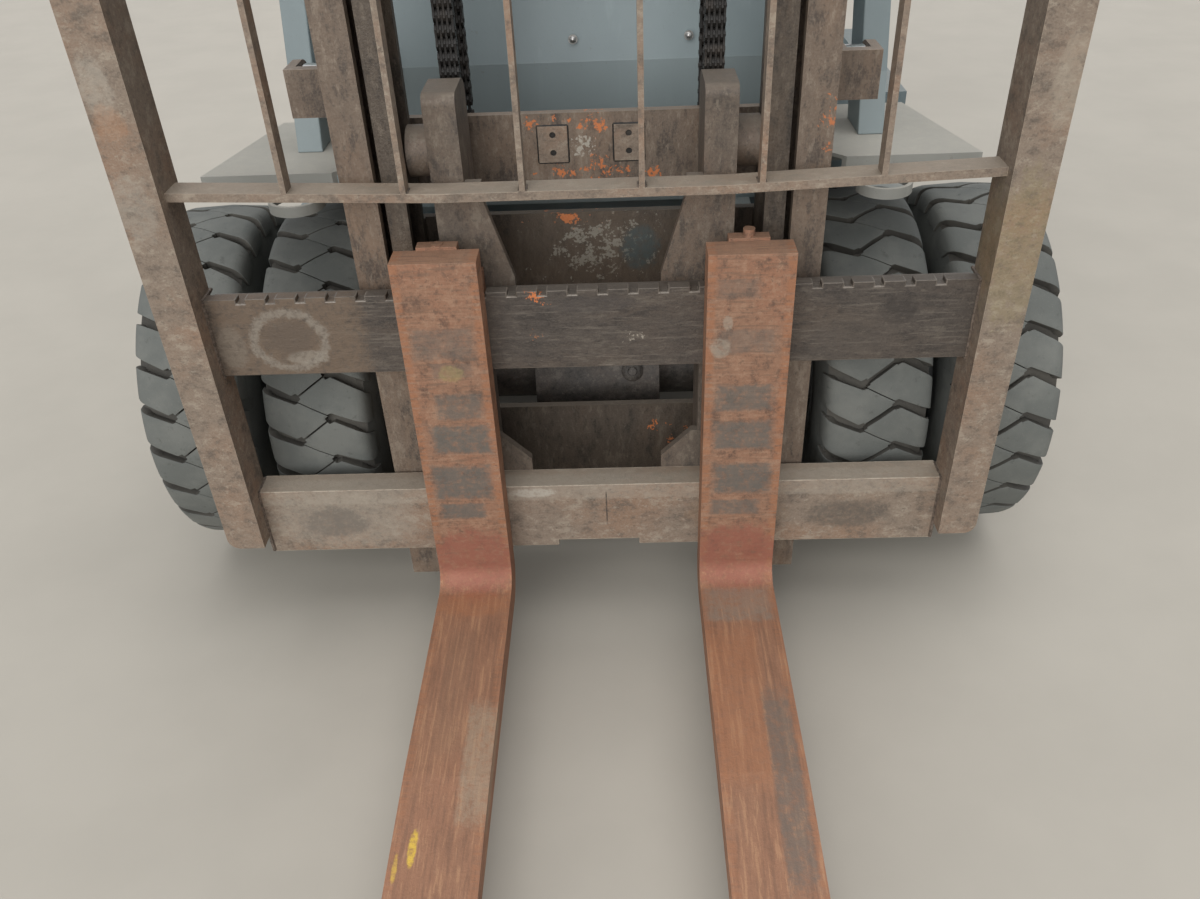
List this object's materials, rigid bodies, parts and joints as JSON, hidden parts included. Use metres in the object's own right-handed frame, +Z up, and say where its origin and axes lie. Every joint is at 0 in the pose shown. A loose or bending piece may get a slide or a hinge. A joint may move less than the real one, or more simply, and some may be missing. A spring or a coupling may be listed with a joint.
{
  "type": "forklift truck",
  "caption": "Counterbalance forklift truck with twin drive tyres, two-stage tilting mast, chain-lifted carriage, sliding forks and steered rear wheels.",
  "frame": {"origin": "middle of the machine's box, on the floor under the tyres", "axes": "+X to the right seen from the front, -Y the way the forks point, +Z up"},
  "size_m": [2.044, 4.69, 2.746],
  "materials": {
    "forks": "brown rust with grey worn patches",
    "carriage_dark": "dark grey-brown worn steel",
    "carriage_steel": "taupe steel with rust",
    "mast_steel": "brown taupe greased steel",
    "chromed_rod": "oiled chromed rod",
    "chain_steel": "black greased leaf chain",
    "tyre": "dusty grey solid rubber",
    "rim": "dusty painted steel",
    "axle_steel": "oily dark cast steel",
    "body_paint": "worn blue-grey paint",
    "floor_plate": "worn tread plate",
    "fender_paint": "dusty grey paint",
    "cowl_paint": "blue-grey paint",
    "weight_paint": "painted rough casting",
    "seat_cover": "black vinyl",
    "dark_grille": "black paint",
    "engine_iron": "cast iron",
    "dark_plastic": "black moulded plastic",
    "lever_steel": "bare steel",
    "lamp_glass": "pale lamp lens",
    "lamp_red": "red lamp lens"
  },
  "bodies": {
    "chassis": {"frame": "body_paint", "floor_plate": "floor_plate", "hydraulic_tank": "body_paint", "fuel_tank": "body_paint", "fender_right": "fender_paint", "fender_left": "fender_paint", "cowl": "cowl_paint", "drive_axle": "axle_steel", "steer_axle": "axle_steel", "steer_cylinder": "axle_steel", "counterweight": "weight_paint", "radiator_grille": "dark_grille", "tow_pin": "axle_steel", "engine": "engine_iron", "guard_front_legs": "cowl_paint", "guard_rear_legs": "cowl_paint", "guard_roof": "cowl_paint", "steering_column": "dark_plastic", "control_levers": "lever_steel", "pedals": "lever_steel", "head_lamps": "lamp_glass", "rear_lamps": "lamp_red"},
    "steering_wheel": {"steering_wheel": "dark_plastic"},
    "hood": {"hood": "body_paint", "seat_cushion": "seat_cover", "seat_back": "seat_cover"},
    "drive_wheel_left": {"drive_tyre_left_inner": "tyre", "drive_tyre_left_outer": "tyre", "drive_rim_left": "rim"},
    "drive_wheel_right": {"drive_tyre_right_inner": "tyre", "drive_tyre_right_outer": "tyre", "drive_rim_right": "rim"},
    "knuckle_left": {"knuckle_left": "axle_steel"},
    "knuckle_right": {"knuckle_right": "axle_steel"},
    "steer_wheel_left": {"steer_tyre_left": "tyre", "steer_rim_left": "rim"},
    "steer_wheel_right": {"steer_tyre_right": "tyre", "steer_rim_right": "rim"},
    "steer_rod": {"steer_rod": "chromed_rod"},
    "mast_outer": {"outer_mast": "mast_steel", "lift_cylinders": "mast_steel", "rear_chains": "chain_steel"},
    "mast_inner": {"inner_mast": "mast_steel", "lift_rods": "chromed_rod", "chain_sheaves": "chain_steel", "front_chains": "chain_steel"},
    "carriage": {"carriage_upper_bar": "carriage_dark", "carriage_lower_bar": "carriage_steel", "carriage_plates": "carriage_steel", "load_guard": "carriage_steel"},
    "fork_left": {"fork_left": "forks"},
    "fork_right": {"fork_right": "forks"},
    "tilt_barrel_left": {"tilt_barrel_left": "body_paint"},
    "tilt_barrel_right": {"tilt_barrel_right": "body_paint"},
    "tilt_rod_left": {"tilt_rod_left": "chromed_rod"},
    "tilt_rod_right": {"tilt_rod_right": "chromed_rod"}
  },
  "joints": [
    {"name": "mast_tilt", "type": "hinge", "parent": "chassis", "child": "mast_outer", "pos_m": [0, -0.55, 0.418], "axis": [1, 0, 0], "range_deg": [-12, 6]},
    {"name": "inner_lift", "type": "slide", "parent": "mast_outer", "child": "mast_inner", "axis": [0, 0, 1], "range_m": [-0.0665, 1.4335], "deforming": ["rear_chains"]},
    {"name": "carriage_lift", "type": "slide", "parent": "mast_inner", "child": "carriage", "axis": [0, 0, 1], "range_m": [-0.0665, 1.4335], "deforming": ["front_chains"]},
    {"name": "fork_left_shift", "type": "slide", "parent": "carriage", "child": "fork_left", "axis": [1, 0, 0], "range_m": [-0.379, 0.19]},
    {"name": "fork_right_shift", "type": "slide", "parent": "carriage", "child": "fork_right", "axis": [1, 0, 0], "range_m": [-0.216, 0.353]},
    {"name": "drive_spin_left", "type": "hinge", "parent": "chassis", "child": "drive_wheel_left", "pos_m": [-0.76, -0.55, 0.418], "axis": [1, 0, 0], "continuous": true},
    {"name": "drive_spin_right", "type": "hinge", "parent": "chassis", "child": "drive_wheel_right", "pos_m": [0.76, -0.55, 0.418], "axis": [1, 0, 0], "continuous": true},
    {"name": "steer_left", "type": "hinge", "parent": "chassis", "child": "knuckle_left", "pos_m": [-0.655, 1.7, 0.418], "axis": [0, 0, 1], "range_deg": [-60, 60]},
    {"name": "steer_right", "type": "hinge", "parent": "chassis", "child": "knuckle_right", "pos_m": [0.655, 1.7, 0.418], "axis": [0, 0, 1], "range_deg": [-60, 60]},
    {"name": "steer_rod_slide", "type": "slide", "parent": "chassis", "child": "steer_rod", "axis": [-1, 0, 0], "range_m": [-0.1, 0.1]},
    {"name": "steering_wheel_turn", "type": "hinge", "parent": "chassis", "child": "steering_wheel", "pos_m": [-0.06, -0.351, 0.812], "axis": [0, 0.4226, 0.9063], "range_deg": [-900, 900]},
    {"name": "steer_spin_left", "type": "hinge", "parent": "knuckle_left", "child": "steer_wheel_left", "pos_m": [-0.8, 1.7, 0.418], "axis": [1, 0, 0], "continuous": true},
    {"name": "steer_spin_right", "type": "hinge", "parent": "knuckle_right", "child": "steer_wheel_right", "pos_m": [0.8, 1.7, 0.418], "axis": [1, 0, 0], "continuous": true},
    {"name": "hood_open", "type": "hinge", "parent": "chassis", "child": "hood", "pos_m": [0, 1.4445, 1.21], "axis": [-1, 0, 0], "range_deg": [0, 55]},
    {"name": "tilt_swing_left", "type": "hinge", "parent": "chassis", "child": "tilt_barrel_left", "pos_m": [-0.515, -0.225, 1.1], "axis": [1, 0, 0], "range_deg": [-9, 5]},
    {"name": "tilt_swing_right", "type": "hinge", "parent": "chassis", "child": "tilt_barrel_right", "pos_m": [0.515, -0.225, 1.1], "axis": [1, 0, 0], "range_deg": [-9, 5]},
    {"name": "tilt_slide_left", "type": "slide", "parent": "tilt_barrel_left", "child": "tilt_rod_left", "axis": [0, -0.985, 0.1728], "range_m": [-0.16, 0.08]},
    {"name": "tilt_slide_right", "type": "slide", "parent": "tilt_barrel_right", "child": "tilt_rod_right", "axis": [0, -0.985, 0.1728], "range_m": [-0.16, 0.08]}
  ],
  "couplings": [
    {"joint": "carriage_lift", "follows": "inner_lift", "ratio": 1},
    {"joint": "steer_right", "follows": "steer_left", "ratio": 1},
    {"joint": "steer_rod_slide", "follows": "steer_left", "m_per_rad": 0.091},
    {"joint": "steering_wheel_turn", "follows": "steer_left", "ratio": -15},
    {"joint": "tilt_swing_left", "follows": "mast_tilt", "ratio": 0.68117},
    {"joint": "tilt_slide_left", "follows": "mast_tilt", "m_per_rad": 0.73343},
    {"joint": "tilt_swing_right", "follows": "mast_tilt", "ratio": 0.68117},
    {"joint": "tilt_slide_right", "follows": "mast_tilt", "m_per_rad": 0.73343}
  ]
}
